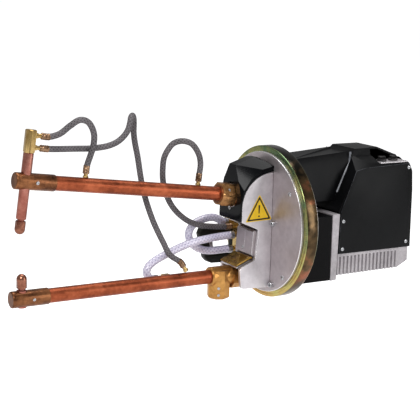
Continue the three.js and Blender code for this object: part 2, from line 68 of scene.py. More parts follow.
# %% Camera
RIGHT = Vector((0.8588, -0.5118, 0.0250))
UP = Vector((0.0755, 0.1746, 0.9817))
BACK = RIGHT.cross(UP)
camera_data = bpy.data.cameras.new("camera")
camera_data.lens = 111.43
camera_data.sensor_width = 36.0
camera_data.clip_end = 200.0
camera = bpy.data.objects.new("camera", camera_data)
across, back = RIGHT.normalized(), BACK.normalized()
turn = Matrix((across, back.cross(across), back)).transposed()
camera.matrix_world = Matrix.Translation((-1.5561, -2.3304, 0.5579)) @ turn.to_4x4()
bpy.context.scene.collection.objects.link(camera)
bpy.context.scene.camera = camera
print("camera", [round(v, 3) for v in camera.location])

# %% [markdown]
# ## Floor and light
# The floor is plain and pale, well below the gun because the gun hangs. Metals show what they
# reflect, so the light is three soft panels in a dimmer room: an evenly bright room would make
# copper and steel look like paint. The floor glows a little more for the camera's own rays, so
# it reads as clean paper without lighting the gun from below as strongly.

# %% Floor and world
def linear(red, green, blue):
    """Turns a display colour of 0 to 255 into the linear values that shaders use."""
    c = np.array([red, green, blue], float) / 255
    c = np.where(c <= 0.04045, c / 12.92, ((c + 0.055) / 1.055) ** 2.4)
    return (*[float(v) for v in c], 1.0)


def plain_sheet(name, corners):
    """A flat four-cornered sheet between the given points."""
    mesh = bpy.data.meshes.new(name)
    mesh.from_pydata([tuple(c) for c in corners], [], [(0, 1, 2, 3)])
    obj = bpy.data.objects.new(name, mesh)
    bpy.context.scene.collection.objects.link(obj)
    return obj


FLOOR_Z = -0.42
FAR = 70
SEEN_GLOW, ROOM_GLOW = 0.55, 0.16
floor = plain_sheet("floor", [(-FAR, -FAR, FLOOR_Z), (FAR, -FAR, FLOOR_Z), (FAR, FAR, FLOOR_Z),
                              (-FAR, FAR, FLOOR_Z)])
paper = bpy.data.materials.new("paper")
paper.use_nodes = True
paper_shader = paper.node_tree.nodes["Principled BSDF"]
paper_shader.inputs["Base Color"].default_value = (0.93, 0.93, 0.94, 1)
paper_shader.inputs["Roughness"].default_value = 0.9
paper_shader.inputs["Specular IOR Level"].default_value = 0.1
paper_shader.inputs["Emission Color"].default_value = (1, 1, 1, 1)
glow = paper.node_tree.nodes.new("ShaderNodeMath")
glow.operation = "MULTIPLY_ADD"
glow.inputs[1].default_value, glow.inputs[2].default_value = SEEN_GLOW, ROOM_GLOW
seen = paper.node_tree.nodes.new("ShaderNodeLightPath").outputs["Is Camera Ray"]
paper.node_tree.links.new(seen, glow.inputs[0])
paper.node_tree.links.new(glow.outputs[0], paper_shader.inputs["Emission Strength"])
floor.data.materials.append(paper)
world = bpy.data.worlds.new("studio")
world.use_nodes = True
world.node_tree.nodes["Background"].inputs["Color"].default_value = (1.0, 1.0, 1.0, 1)
world.node_tree.nodes["Background"].inputs["Strength"].default_value = 0.34
bpy.context.scene.world = world
bpy.context.scene.view_settings.view_transform = "Standard"
print("floor at", FLOOR_Z)

# %% Soft panels
def soft_panel(name, place, aim, size, power, tint=(1, 1, 1)):
    """A rectangular light of size (wide, high) at place, turned to face aim."""
    data = bpy.data.lights.new(name, "AREA")
    data.shape = "RECTANGLE"
    data.size, data.size_y = size
    data.energy = power
    data.color = tint
    obj = bpy.data.objects.new(name, data)
    obj.location = place
    obj.rotation_euler = (Vector(aim) - Vector(place)).to_track_quat("-Z", "Y").to_euler()
    bpy.context.scene.collection.objects.link(obj)
    return obj


soft_panel("key_panel", (-2.2, -2.2, 2.6), (-0.1, 0, 0), (1.6, 1.2), 70)
soft_panel("top_panel", (0.2, 0.4, 2.8), (0, 0, 0), (2.2, 1.4), 45)
soft_panel("side_panel", (1.6, -2.6, 0.6), (0.1, 0, 0), (0.8, 1.8), 22)

# %% [markdown]
# ## How new pieces are made
# Nearly everything here is either turned on a lathe or pushed along a path. Both are a grid
# of points: one parameter runs along, the other runs round. The whole grid is worked out at
# once, then its small squares become the faces, and a flat face closes each end.

# %% Grid surfaces
ROUND = 2 * np.pi


def piece_from_grid(name, points, uv_scale=None, closed=True, sharp=32.0):
    """Makes a mesh of points[i, j]: i runs along and j runs round, so the last column joins
    the first. Both ends are closed with one flat face."""
    rows, cols = points.shape[:2]
    index = np.arange(rows * cols).reshape(rows, cols)
    near, far = index[:-1], index[1:]
    quads = np.stack([near, np.roll(near, -1, 1), np.roll(far, -1, 1), far], -1).reshape(-1, 4)
    faces = quads.tolist()
    if closed:
        faces += [index[0, ::-1].tolist(), index[-1].tolist()]
    mesh = bpy.data.meshes.new(name)
    mesh.from_pydata(points.reshape(-1, 3).tolist(), [], faces)
    if uv_scale is not None:
        along = np.linalg.norm(np.diff(points.mean(1), axis=0), axis=1)
        along = np.concatenate([[0], np.cumsum(along)]) * uv_scale
        u = np.stack([along[:-1], along[:-1], along[1:], along[1:]], -1)[:, None, :].repeat(cols, 1)
        v = np.arange(cols) / cols
        v = np.stack([v, v + 1 / cols, v + 1 / cols, v], -1)[None].repeat(rows - 1, 0)
        flat = np.stack([u, v], -1).reshape(-1)
        layer = mesh.uv_layers.new(name="along_round")
        values = np.zeros(len(mesh.loops) * 2)
        values[:len(flat)] = flat
        layer.data.foreach_set("uv", values)
    mesh.polygons.foreach_set("use_smooth", np.ones(len(mesh.polygons), bool))
    mesh.set_sharp_from_angle(angle=math.radians(sharp))
    mesh.update()
    obj = bpy.data.objects.new(name, mesh)
    bpy.context.scene.collection.objects.link(obj)
    return obj


def cross_axes(axis):
    """Two unit directions square to axis and to each other."""
    axis = np.array(axis, float) / np.linalg.norm(axis)
    other = np.array([0, 1.0, 0]) if abs(axis[1]) < 0.8 else np.array([1.0, 0, 0])
    u = np.cross(other, axis)
    u /= np.linalg.norm(u)
    return axis, u, np.cross(axis, u)


def turned(name, profile, origin, axis, sides=48, flats=0, across=None, twist=0.0, sharp=32.0):
    """A lathe shape: a point is origin + t*axis + r*(cos a*u + sin a*v), for each pair (t, r)
    of the profile, in millimetres. With flats, r is at most across/2 over the cosine of the
    angle to the nearest flat, so the turned shape keeps its chamfers and gains a hexagon."""
    axis, u, v = cross_axes(axis)
    profile = np.array(profile, float)
    a = np.linspace(0, ROUND, sides, endpoint=False) + twist
    radius = np.repeat(profile[:, 1:2], sides, 1)
    if flats:
        step = ROUND / flats
        off = (a - twist + step / 2) % step - step / 2
        limit = np.array(across, float).reshape(-1, 1) / 2 / np.cos(off)[None]
        radius = np.minimum(radius, limit)
    p = (np.array(origin, float) + (profile[:, 0, None, None] * axis
         + radius[..., None] * (np.cos(a)[:, None] * u + np.sin(a)[:, None] * v)[None]) / 1000)
    return piece_from_grid(name, p, sharp=sharp)


def finish_with(obj, body, slot, material, *nodes):
    """Puts obj on its body with its finish, standing for the CAD nodes named."""
    obj.data.materials.clear()
    obj.data.materials.append(material)
    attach(obj, body)
    if nodes:
        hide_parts(*nodes)
    return obj


# %% [markdown]
# ## Paths for the hoses
# A hose is a stiff tube that springs into wide arcs. Its route is a handful of points in the
# air, and a smooth curve through them. The curve is a centripetal Catmull-Rom spline, which
# never loops back on itself between two close points.

# %% Smooth path
def smooth_path(points, spacing=0.0015):
    """Centripetal Catmull-Rom through the points (millimetres), evenly spaced, in metres. On
    each span the curve is a cubic whose end slopes come from the two spans beside it."""
    p = np.array(points, float) / 1000
    p = np.vstack([2 * p[0] - p[1], p, 2 * p[-1] - p[-2]])
    a, b, c, d = p[:-3], p[1:-2], p[2:-1], p[3:]
    e, f, g = [np.sqrt(np.linalg.norm(n - m, axis=1))[:, None]
               for m, n in ((a, b), (b, c), (c, d))]
    slope_b = ((b - a) / e - (c - a) / (e + f) + (c - b) / f) * f
    slope_c = ((c - b) / f - (d - b) / (f + g) + (d - c) / g) * f
    t = np.linspace(0, 1, 40, endpoint=False)[None, :, None]
    b, c, m, n = [x[:, None, :] for x in (b, c, slope_b, slope_c)]
    curve = b + m * t + (-3 * b + 3 * c - 2 * m - n) * t ** 2 + (2 * b - 2 * c + m + n) * t ** 3
    curve = np.vstack([curve.reshape(-1, 3), p[-2]])
    far = np.concatenate([[0], np.cumsum(np.linalg.norm(np.diff(curve, axis=0), axis=1))])
    s = np.linspace(0, far[-1], int(far[-1] / spacing) + 1)
    return np.stack([np.interp(s, far, curve[:, k]) for k in range(3)], 1)


def path_length(path):
    """The sum of the steps between neighbouring points, in metres."""
    return float(np.linalg.norm(np.diff(path, axis=0), axis=1).sum())


def tube_along(name, path, radius, sides=24, ripple=None):
    """A tube: at each point of the path, a ring of points at radius, square to the path. The
    ring starts from the Y direction made square to the path, so it never twists."""
    slope = np.gradient(path, axis=0)
    slope /= np.linalg.norm(slope, axis=1)[:, None]
    side = np.array([0, 1.0, 0]) - slope[:, 1:2] * slope
    side /= np.linalg.norm(side, axis=1)[:, None]
    over = np.cross(slope, side)
    a = np.linspace(0, ROUND, sides, endpoint=False)
    r = np.full((len(path), sides), radius)
    if ripple is not None:
        far = np.concatenate([[0], np.cumsum(np.linalg.norm(np.diff(path, axis=0), axis=1))])
        r = r + ripple(far[:, None], a[None])
    ring = np.cos(a)[None, :, None] * side[:, None] + np.sin(a)[None, :, None] * over[:, None]
    return piece_from_grid(name, path[:, None] + r[..., None] * ring, uv_scale=1 / (ROUND * radius))


# %% [markdown]
# ## The upper arm's own frame
# The upper arm stands open, so nothing on it is square to the machine. Its pieces are placed in
# a frame of their own that starts at the pivot, and one small turn brings them to the machine.

# %% Arm frame
OPEN = math.radians(7.16)
PIVOT_X, PIVOT_Z = -42, 42
ARM_Z = 16.1
LOW_Z = -111
ELECTRODE_X, LOW_ELECTRODE_X = -539, -583


def on_arm(x, y, z):
    """A point of the upper arm's own frame (millimetres from the pivot, -X along the arm)."""
    return np.array([PIVOT_X + x * math.cos(OPEN) + z * math.sin(OPEN), y,
                     PIVOT_Z - x * math.sin(OPEN) + z * math.cos(OPEN)])


def arm_way(x, y, z):
    """A direction of the upper arm's own frame."""
    return np.array([x * math.cos(OPEN) + z * math.sin(OPEN), y,
                     -x * math.sin(OPEN) + z * math.cos(OPEN)])


HEAD_TURN = math.radians(-10)
HOSE_START, HOSE_LEAD = 21.166, 36.866
ARM_HOSE_START, ARM_HOSE_LEAD = 39.4, 53.1


def off_head(distance, z):
    """A point at distance from the electrode head's middle, the way its fittings face."""
    return on_arm(ELECTRODE_X + distance * math.cos(HEAD_TURN), distance * math.sin(HEAD_TURN), z)


print("hoses start at", off_head(HOSE_START, 107.2).round(1), off_head(HOSE_START, 83.4).round(1))

# %% [markdown]
# ## Hose routes
# Each hose leaves its fitting straight, so its first two points lie along the fitting, and the
# rest are given one by one. A real hose this stiff keeps wide bends and holds its loops in the air.

# %% Hose routes
ROUTES = {
    "hose_arm_loop": [off_head(HOSE_START, 107.2), off_head(HOSE_LEAD, 107.2), (-505, -8, 216.5),
                      (-484, -9, 231), (-463, -10, 242), (-445, -10, 237), (-432, -9, 215),
                      (-431, -6, 190), on_arm(-410.5, 0, ARM_HOSE_LEAD),
                      on_arm(-410.5, 0, ARM_HOSE_START)],
    "hose_front_return": [off_head(HOSE_START, 83.4), off_head(HOSE_LEAD, 83.4), (-464, 4, 183),
                          (-425, 10, 181), (-389, 12, 184), (-368, 13, 191),
                          (-352.7, 14, 202), (-342.7, 16, 213.7), (-335.8, 20, 228.4),
                          (-330.5, 27, 237), (-322, 37, 240), (-313.5, 48, 233),
                          (-309, 55, 219), (-307.6, 58, 202.8), (-305.2, 57, 181.8),
                          (-300.5, 53, 152.6), (-294, 38, 83), (-276, 28, 20),
                          (-253, 20, -31), (-239.3, 15, -57.6), (-219, 4, -73.3),
                          (-213.18, 2.06, -82.71)],
    "hose_rear_return": [on_arm(-146.9, 0, ARM_HOSE_START), on_arm(-146.9, 0, ARM_HOSE_LEAD),
                         (-176, 4, 136), (-179, 8, 157), (-193, 14, 178), (-213, 20, 184),
                         (-230, 26, 179),
                         (-241, 30, 165), (-248, 33, 148), (-250, 34, 128), (-248, 35, 97),
                         (-234, 36, 58), (-213, 40, 31), (-180, 46, 6), (-145, 52, -8),
                         (-106, 58, -15), (-70, 62, -19), (-58.3, 62, -19)],
    "hose_clear_loop": [(-58.3, 80, -12), (-66, 80, -12), (-96, 76, 1), (-124, 72, 1),
                        (-146, 70, -6), (-160, 69, -18), (-164, 68, -33), (-156, 67, -51),
                        (-140, 66, -63), (-120, 65, -69), (-100, 62, -70), (-72, 60, -69),
                        (-58.3, 60, -69)],
    "hose_clear_supply": [(-58.3, 53, -37), (-72, 53, -37), (-129, 45, -38), (-168, 42, -42),
                          (-201, 40, -50), (-236, 38, -61.5), (-264, 36, -72.5),
                          (-280.5, 34, -83), (-285.8, 32, -93.5), (-283.5, 29.5, -103),
                          (-275, 27, -109.2), (-262.3, 26, -110)],
}
paths = {name: smooth_path(points) for name, points in ROUTES.items()}
for name, path in paths.items():
    print(name, round(path_length(path), 3), "m")

# %% [markdown]
# ## Shared surface effects
# Real metal is never one flat colour: copper browns in clouds, a lathe leaves fine rings,
# castings have a sandy skin. Each effect is a node group with its own inputs, so one recipe
# serves many metals with different numbers. The groups read Object coordinates, in metres.

# %% Node helpers
def new_group(name, inputs, outputs):
    """A shader node group with named inputs (name, kind, start value) and outputs."""
    tree = bpy.data.node_groups.new(name, "ShaderNodeTree")
    for label, kind, value in inputs:
        socket = tree.interface.new_socket(name=label, in_out="INPUT", socket_type=kind)
        if value is not None:
            socket.default_value = value
    for label, kind in outputs:
        tree.interface.new_socket(name=label, in_out="OUTPUT", socket_type=kind)
    return tree, tree.nodes.new("NodeGroupInput"), tree.nodes.new("NodeGroupOutput")


def node(tree, kind, inputs=None, **settings):
    """Adds a node; each input is either a value or the output socket that feeds it."""
    made = tree.nodes.new(kind)
    for key, value in settings.items():
        setattr(made, key, value)
    for key, value in (inputs or {}).items():
        if isinstance(value, bpy.types.NodeSocket):
            tree.links.new(value, made.inputs[key])
        else:
            made.inputs[key].default_value = value
    return made


def sums(tree, operation, a, b=0.0, c=0.0):
    """The output of one Math node on a, b and c."""
    return node(tree, "ShaderNodeMath", {0: a, 1: b, 2: c}, operation=operation).outputs[0]


FLOAT, VECTOR = "NodeSocketFloat", "NodeSocketVector"

# %% Clouds: slow variation of tone
clouds, given, out = new_group("clouds", [("Vector", VECTOR, None), ("Scale", FLOAT, 20.0),
                                          ("Contrast", FLOAT, 1.6)], [("Mask", FLOAT)])
broad = node(clouds, "ShaderNodeTexNoise", {"Vector": given.outputs["Vector"],
             "Scale": given.outputs["Scale"], "Detail": 4.0, "Roughness": 0.62})
finer = sums(clouds, "MULTIPLY", given.outputs["Scale"], 6.0)
fine = node(clouds, "ShaderNodeTexNoise", {"Vector": given.outputs["Vector"], "Scale": finer,
            "Detail": 2.0})
mixed = sums(clouds, "MULTIPLY_ADD", fine.outputs["Fac"], 0.3, sums(clouds, "MULTIPLY",
             broad.outputs["Fac"], 0.7))
spread = sums(clouds, "MULTIPLY", sums(clouds, "SUBTRACT", mixed, 0.5), given.outputs["Contrast"])
spread = sums(clouds, "MULTIPLY", spread, 2.0)
mask = node(clouds, "ShaderNodeMath", {0: spread, 1: 0.5}, operation="ADD", use_clamp=True)
clouds.links.new(mask.outputs[0], out.inputs["Mask"])

# %% Turning rings: the fine circles of a lathe about the X axis
rings, given, out = new_group("turning_rings", [("Vector", VECTOR, None), ("Lines", FLOAT, 900.0)],
                              [("Height", FLOAT)])
parts = node(rings, "ShaderNodeSeparateXYZ", {0: given.outputs["Vector"]})
flat = node(rings, "ShaderNodeCombineXYZ", {1: parts.outputs[1], 2: parts.outputs[2]})
radius = node(rings, "ShaderNodeVectorMath", {0: flat.outputs[0]}, operation="LENGTH")
place = node(rings, "ShaderNodeCombineXYZ", {0: radius.outputs["Value"], 1: parts.outputs[0]})
lines = node(rings, "ShaderNodeTexNoise", {"Vector": place.outputs[0],
             "Scale": given.outputs["Lines"], "Detail": 2.0})
rings.links.new(lines.outputs["Fac"], out.inputs["Height"])

# %% Drawn lines: the long scratches of a bar pulled through a die
drawn, given, out = new_group("drawn_lines", [("Vector", VECTOR, None), ("Lines", FLOAT, 500.0)],
                              [("Height", FLOAT)])
squeezed = node(drawn, "ShaderNodeVectorMath", {0: given.outputs["Vector"], 1: (0.03, 1.0, 1.0)},
                operation="MULTIPLY")
lines = node(drawn, "ShaderNodeTexNoise", {"Vector": squeezed.outputs[0],
             "Scale": given.outputs["Lines"], "Detail": 3.0})
drawn.links.new(lines.outputs["Fac"], out.inputs["Height"])

# %% Sand: the skin of a casting or a moulded cover
sand, given, out = new_group("sand_skin", [("Vector", VECTOR, None), ("Grains", FLOAT, 700.0)],
                             [("Height", FLOAT)])
coarse = node(sand, "ShaderNodeTexVoronoi", {"Vector": given.outputs["Vector"],
              "Scale": given.outputs["Grains"]}, feature="SMOOTH_F1")
soft = node(sand, "ShaderNodeTexNoise", {"Vector": given.outputs["Vector"],
            "Scale": given.outputs["Grains"], "Detail": 3.0})
sand.links.new(sums(sand, "MULTIPLY_ADD", coarse.outputs["Distance"], 0.6, soft.outputs["Fac"]),
               out.inputs["Height"])

# %% Braid: two sets of strands crossing round a hose
braid, given, out = new_group("braid_weave", [("Along round", VECTOR, None), ("Strands", FLOAT, 12.0)],
                              [("Height", FLOAT), ("Gap", FLOAT)])
parts = node(braid, "ShaderNodeSeparateXYZ", {0: given.outputs["Along round"]})
turns = sums(braid, "MULTIPLY", given.outputs["Strands"], ROUND)
add_uv = sums(braid, "ADD", parts.outputs[0], parts.outputs[1])
less_uv = sums(braid, "SUBTRACT", parts.outputs[0], parts.outputs[1])
one = sums(braid, "SINE", sums(braid, "MULTIPLY", add_uv, turns))
two = sums(braid, "SINE", sums(braid, "MULTIPLY", less_uv, turns))
top = sums(braid, "MAXIMUM", one, two)
braid.links.new(sums(braid, "MULTIPLY_ADD", top, 0.5, 0.5), out.inputs["Height"])
gap = node(braid, "ShaderNodeMapRange", {"Value": top, "From Min": 0.3, "From Max": -0.5})
braid.links.new(gap.outputs[0], out.inputs["Gap"])
print("groups", [g.name for g in bpy.data.node_groups])

# %% [markdown]
# ## Metals
# Every metal is the same sentence with other words: two tones mixed by clouds, a roughness
# that follows the clouds, and marks from how it was made. One function says the sentence, and
# the groups hold the patterns. Constants are set on the shader itself.

# %% Metal and plastic
def finish(name, dark, light, rough, metallic, cloud=(20, 1.5), marks=None, bump=0.0,
           third=None, specular=0.5, drift=None):
    """A material: colour runs from dark to light with the clouds, roughness from rough[0] to
    rough[1], and marks is (group, count per metre) for the height that feeds the bump. With
    drift, the tone also slides across the piece by drift times the place, per metre."""
    material = bpy.data.materials.new(name)
    material.use_nodes = True
    tree = material.node_tree
    shader = tree.nodes["Principled BSDF"]
    where = node(tree, "ShaderNodeTexCoord").outputs["Object"]
    cloudy = node(tree, "ShaderNodeGroup", node_tree=clouds)
    tree.links.new(where, cloudy.inputs["Vector"])
    cloudy.inputs["Scale"].default_value, cloudy.inputs["Contrast"].default_value = cloud
    tone = cloudy.outputs["Mask"]
    if drift is not None:
        slide = node(tree, "ShaderNodeVectorMath", {0: where, 1: drift}, operation="DOT_PRODUCT")
        tone = sums(tree, "ADD", tone, slide.outputs["Value"])
    ramp = node(tree, "ShaderNodeValToRGB", {0: tone})
    ramp.color_ramp.elements[0].color = linear(*dark)
    ramp.color_ramp.elements[1].color = linear(*light)
    if third is not None:
        ramp.color_ramp.elements.new(0.5).color = linear(*third)
    tree.links.new(ramp.outputs["Color"], shader.inputs["Base Color"])
    sheen = node(tree, "ShaderNodeMapRange", {"Value": cloudy.outputs["Mask"],
                 "To Min": rough[0], "To Max": rough[1]})
    rough_out = sheen.outputs[0]
    if marks is not None:
        pattern = node(tree, "ShaderNodeGroup", node_tree=marks[0])
        tree.links.new(where, pattern.inputs["Vector"])
        pattern.inputs[1].default_value = marks[1]
        lift = node(tree, "ShaderNodeBump", {"Height": pattern.outputs["Height"],
                    "Strength": bump, "Distance": 0.0004})
        tree.links.new(lift.outputs["Normal"], shader.inputs["Normal"])
        rough_out = sums(tree, "MULTIPLY_ADD", sums(tree, "SUBTRACT",
                         pattern.outputs["Height"], 0.5), 0.18, rough_out)
    tree.links.new(rough_out, shader.inputs["Roughness"])
    shader.inputs["Metallic"].default_value = metallic
    shader.inputs["Specular IOR Level"].default_value = specular
    return material


ZINC = finish("yellow_zinc", (104, 128, 92), (190, 138, 74), (0.20, 0.30), 0.92, (9, 1.0),
              (rings, 700), 0.06, third=(196, 184, 112), drift=(0, 1.3, -1.5))
# The outer rim: browned plating plus painted reflection, near black to copper brown, darker towards the top
# and lighter towards the bottom.
ZINC_RIM = finish("browned_zinc_and_painted_reflection", (32, 28, 20), (168, 100, 72), (0.14, 0.24), 0.95, (8, 2.0),
                  (drawn, 260), 0.04, third=(98, 78, 54), drift=(0, 0.5, -1.9))
DISC = finish("turned_aluminium", (168, 158, 160), (206, 198, 200), (0.38, 0.50), 0.8, (14, 1.2),
              (rings, 900), 0.08)
PLATE = finish("machined_aluminium", (196, 190, 194), (228, 223, 226), (0.38, 0.50), 0.8, (22, 1.2),
               (drawn, 380), 0.06)
CASTING = finish("grey_casting", (144, 139, 142), (192, 187, 190), (0.44, 0.56), 0.35, (30, 1.2),
                 (sand, 520), 0.20)
COPPER = finish("drawn_copper", (128, 62, 38), (184, 100, 66), (0.32, 0.46), 0.88, (20, 1.9),
                (drawn, 420), 0.12, third=(158, 80, 50))
POLISHED = finish("polished_copper", (128, 68, 56), (196, 138, 122), (0.13, 0.20), 0.95,
                  (22, 1.2), (drawn, 500), 0.02, third=(164, 102, 88))
CAP = finish("worn_copper_cap", (100, 56, 42), (186, 126, 102), (0.16, 0.26), 0.92, (40, 1.5),
             (drawn, 600), 0.03)
HOLDER = finish("browned_bronze", (88, 52, 32), (150, 98, 62), (0.28, 0.40), 0.88, (30, 1.8),
                (rings, 1100), 0.10)
BRONZE = finish("nut_bronze", (136, 92, 56), (196, 146, 94), (0.22, 0.34), 0.92, (30, 1.5),
                (rings, 1000), 0.06)
TEE = finish("cast_bronze_tee", (152, 102, 50), (216, 162, 92), (0.22, 0.36), 0.92, (26, 1.6),
             (sand, 700), 0.08)
BRASS = finish("brass", (176, 142, 84), (228, 198, 134), (0.20, 0.30), 0.92, (24, 1.3),
               (drawn, 700), 0.05)
SHIELD = finish("dull_brass_sheet", (116, 84, 34), (206, 166, 82), (0.24, 0.36), 0.92, (30, 1.7),
                (drawn, 300), 0.06)
FERRULE = finish("browned_brass", (82, 56, 38), (176, 142, 112), (0.20, 0.34), 0.92, (60, 1.8),
                 (drawn, 900), 0.05)
STEEL = finish("plated_steel", (150, 152, 156), (212, 212, 214), (0.20, 0.32), 0.95, (60, 1.3),
               (rings, 1500), 0.05)
DARK_STEEL = finish("black_oxide_steel", (40, 40, 42), (84, 82, 82), (0.30, 0.46), 0.85,
                    (80, 1.4), (sand, 1500), 0.06)
GLOSS_BLACK = finish("gloss_black_hood", (4, 5, 7), (9, 10, 13), (0.14, 0.20), 0.0, (26, 1.1),
                     specular=0.10)
SATIN_BLACK = finish("grained_black_cover", (5, 5, 6), (12, 13, 15), (0.30, 0.40), 0.0,
                     (18, 1.2), (sand, 900), 0.10, specular=0.12)
GRIP_BLACK = finish("handle_black", (12, 13, 8), (30, 30, 20), (0.38, 0.52), 0.0, (34, 1.4),
                    (sand, 1100), 0.16, specular=0.22)
RESIN = finish("core_resin", (3, 3, 4), (11, 10, 11), (0.34, 0.50), 0.0, (28, 1.6),
               (sand, 380), 0.12, specular=0.08)
YELLOW = finish("label_yellow", (222, 178, 22), (244, 204, 40), (0.36, 0.44), 0.0, (60, 1.1),
                (sand, 1600), 0.03)
INK = finish("label_black", (14, 14, 14), (24, 24, 24), (0.36, 0.46), 0.0, (60, 1.1),
             (sand, 1600), 0.03)

# %% [markdown]
# ## Hose covers
# The braid is far too fine to build strand by strand over two metres of hose, but its relief
# catches the light. So each tube's own grid has a small crossing ripple, and the material adds
# the finer strands and the dark gaps, on the tube's own along-and-round map.

# %% Braided covers
def hose_cover(name, dark, light, strands, rough, bump, coat=0.0):
    """A material on the map that runs along and round a hose: crossing strands, darker gaps."""
    material = bpy.data.materials.new(name)
    material.use_nodes = True
    tree = material.node_tree
    shader = tree.nodes["Principled BSDF"]
    uv = node(tree, "ShaderNodeUVMap", uv_map="along_round").outputs[0]
    where = node(tree, "ShaderNodeTexCoord").outputs["Object"]
    weave = node(tree, "ShaderNodeGroup", node_tree=braid)
    tree.links.new(uv, weave.inputs[0])
    weave.inputs["Strands"].default_value = strands
    cloudy = node(tree, "ShaderNodeGroup", node_tree=clouds)
    tree.links.new(where, cloudy.inputs["Vector"])
    cloudy.inputs["Scale"].default_value = 30
    tone = sums(tree, "MULTIPLY_ADD", cloudy.outputs["Mask"], 0.35,
                sums(tree, "MULTIPLY", weave.outputs["Height"], 0.65))
    ramp = node(tree, "ShaderNodeValToRGB", {0: tone})
    ramp.color_ramp.elements[0].color = linear(*dark)
    ramp.color_ramp.elements[1].color = linear(*light)
    tree.links.new(ramp.outputs["Color"], shader.inputs["Base Color"])
    lift = node(tree, "ShaderNodeBump", {"Height": weave.outputs["Height"], "Strength": bump,
                "Distance": 0.0006})
    tree.links.new(lift.outputs["Normal"], shader.inputs["Normal"])
    dull = node(tree, "ShaderNodeMapRange", {"Value": weave.outputs["Gap"], "To Min": rough,
                "To Max": min(rough + 0.2, 1.0)})
    tree.links.new(dull.outputs[0], shader.inputs["Roughness"])
    shader.inputs["Coat Weight"].default_value = coat
    shader.inputs["Coat Roughness"].default_value = 0.08
    return material


BRAIDED = hose_cover("grey_braid", (10, 9, 11), (112, 107, 110), 5, 0.58, 0.7)
CLEAR = hose_cover("clear_hose", (146, 140, 178), (238, 234, 250), 6, 0.22, 0.3, coat=0.9)

# %% Hoses
BRAID_RADIUS, CLEAR_RADIUS = 0.0062, 0.0084


def crossing_ripple(height, strands, radius):
    """Radius added: height * the larger of two sines, one for each set of strands."""
    def ripple(far, around):
        """The radius added at a distance along the hose and an angle round it."""
        u = far / radius
        return height * np.maximum(np.sin(strands * (u + around)), np.sin(strands * (u - around)))
    return ripple


HOSE_FACTS = {
    "hose_arm_loop": (BRAID_RADIUS, "upper_arm", BRAIDED, "braid", 0.22),
    "hose_front_return": (BRAID_RADIUS, None, BRAIDED, "braid", 0.62),
    "hose_rear_return": (BRAID_RADIUS, None, BRAIDED, "braid", 0.46),
    "hose_clear_loop": (CLEAR_RADIUS, "gun", CLEAR, "clear_hose", 0.25),
    "hose_clear_supply": (CLEAR_RADIUS, "gun", CLEAR, "clear_hose", 0.28),
}
BENDS = {"hose_front_return": ((-0.33, 0.03, 0.20), (-0.25, 0.02, -0.05)),
         "hose_rear_return": ((-0.20, 0.03, 0.10), (-0.20, 0.03, -0.008))}
for name, (radius, body, material, slot, length) in HOSE_FACTS.items():
    tube = tube_along(name + "_cover", paths[name], radius, 36,
                      crossing_ripple(radius * 0.022, 9, radius))
    tube.data.materials.append(material)
    if body:
        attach(tube, body)
    else:
        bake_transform(tube, "upper_arm", "gun", start=BENDS[name][0], end=BENDS[name][1])
    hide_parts(name)
    print(name, "tube faces", len(tube.data.polygons), "length", round(path_length(paths[name]), 3))

# %% [markdown]
# ## Finished copies of the solid parts
# Plates, castings and covers have the right shape already, but their edges are perfectly
# sharp, and no real edge is. A merged copy of the solid gets a narrow bevel, so each edge
# catches a thin line of light. A second material on the bevel is lighter than the face: on the
# aluminium plates and the black mouldings it is a painted edge highlight, and on the brass
# shield it is a brighter brass.

# %% Bevelled copy
def finished(name, body, slot, material, width=0.5, edge=None, angle=32, segments=2):
    """A merged copy of a CAD solid with its edges rounded by width millimetres."""
    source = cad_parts[name]
    mesh = source.data.copy()
    mesh.name = name + "_finished"
    shape = bmesh.new()
    shape.from_mesh(mesh)
    bmesh.ops.remove_doubles(shape, verts=shape.verts, dist=2e-6)
    bmesh.ops.dissolve_limit(shape, angle_limit=math.radians(0.4), verts=shape.verts,
                             edges=shape.edges)
    bmesh.ops.recalc_face_normals(shape, faces=shape.faces)
    shape.to_mesh(mesh)
    shape.free()
    for layer in list(mesh.attributes):
        if layer.name == "custom_normal":
            mesh.attributes.remove(layer)
    mesh.materials.clear()
    mesh.polygons.foreach_set("material_index", np.zeros(len(mesh.polygons), np.int32))
    mesh.polygons.foreach_set("use_smooth", np.ones(len(mesh.polygons), bool))
    mesh.set_sharp_from_angle(angle=math.radians(angle))
    obj = bpy.data.objects.new(name + "_finished", mesh)
    bpy.context.scene.collection.objects.link(obj)
    finish_with(obj, body, slot, material, name)
    if width:
        bevel = obj.modifiers.new("rounded_edges", "BEVEL")
        bevel.width = width / 1000
        bevel.segments = segments
        bevel.limit_method = "ANGLE"
        bevel.angle_limit = math.radians(angle)
        bevel.harden_normals = True
        if edge is not None:
            mesh.materials.append(edge)
            bevel.material = 1
    return obj


# Near white colour for the bevels of the aluminium parts: a painted edge highlight.
PLATE_EDGE_HIGHLIGHT = finish("painted_highlight_plate_edge", (226, 223, 225), (244, 242, 244), (0.22, 0.30), 0.85, (60, 1.2))
# Light grey colour for the bevels of the black cover and side panels: a painted edge highlight.
BLACK_EDGE_HIGHLIGHT = finish("painted_highlight_black_edge", (24, 25, 28), (66, 68, 73), (0.24, 0.34), 0.0, (40, 2.2),
                    specular=0.35)
# Light grey colour for the fold strips on the black cover: a painted highlight along the folds.
CREASE_HIGHLIGHT = finish("painted_highlight_crease", (70, 72, 78), (140, 143, 150), (0.2, 0.3), 0.0, (30, 1.6),
                specular=0.5)
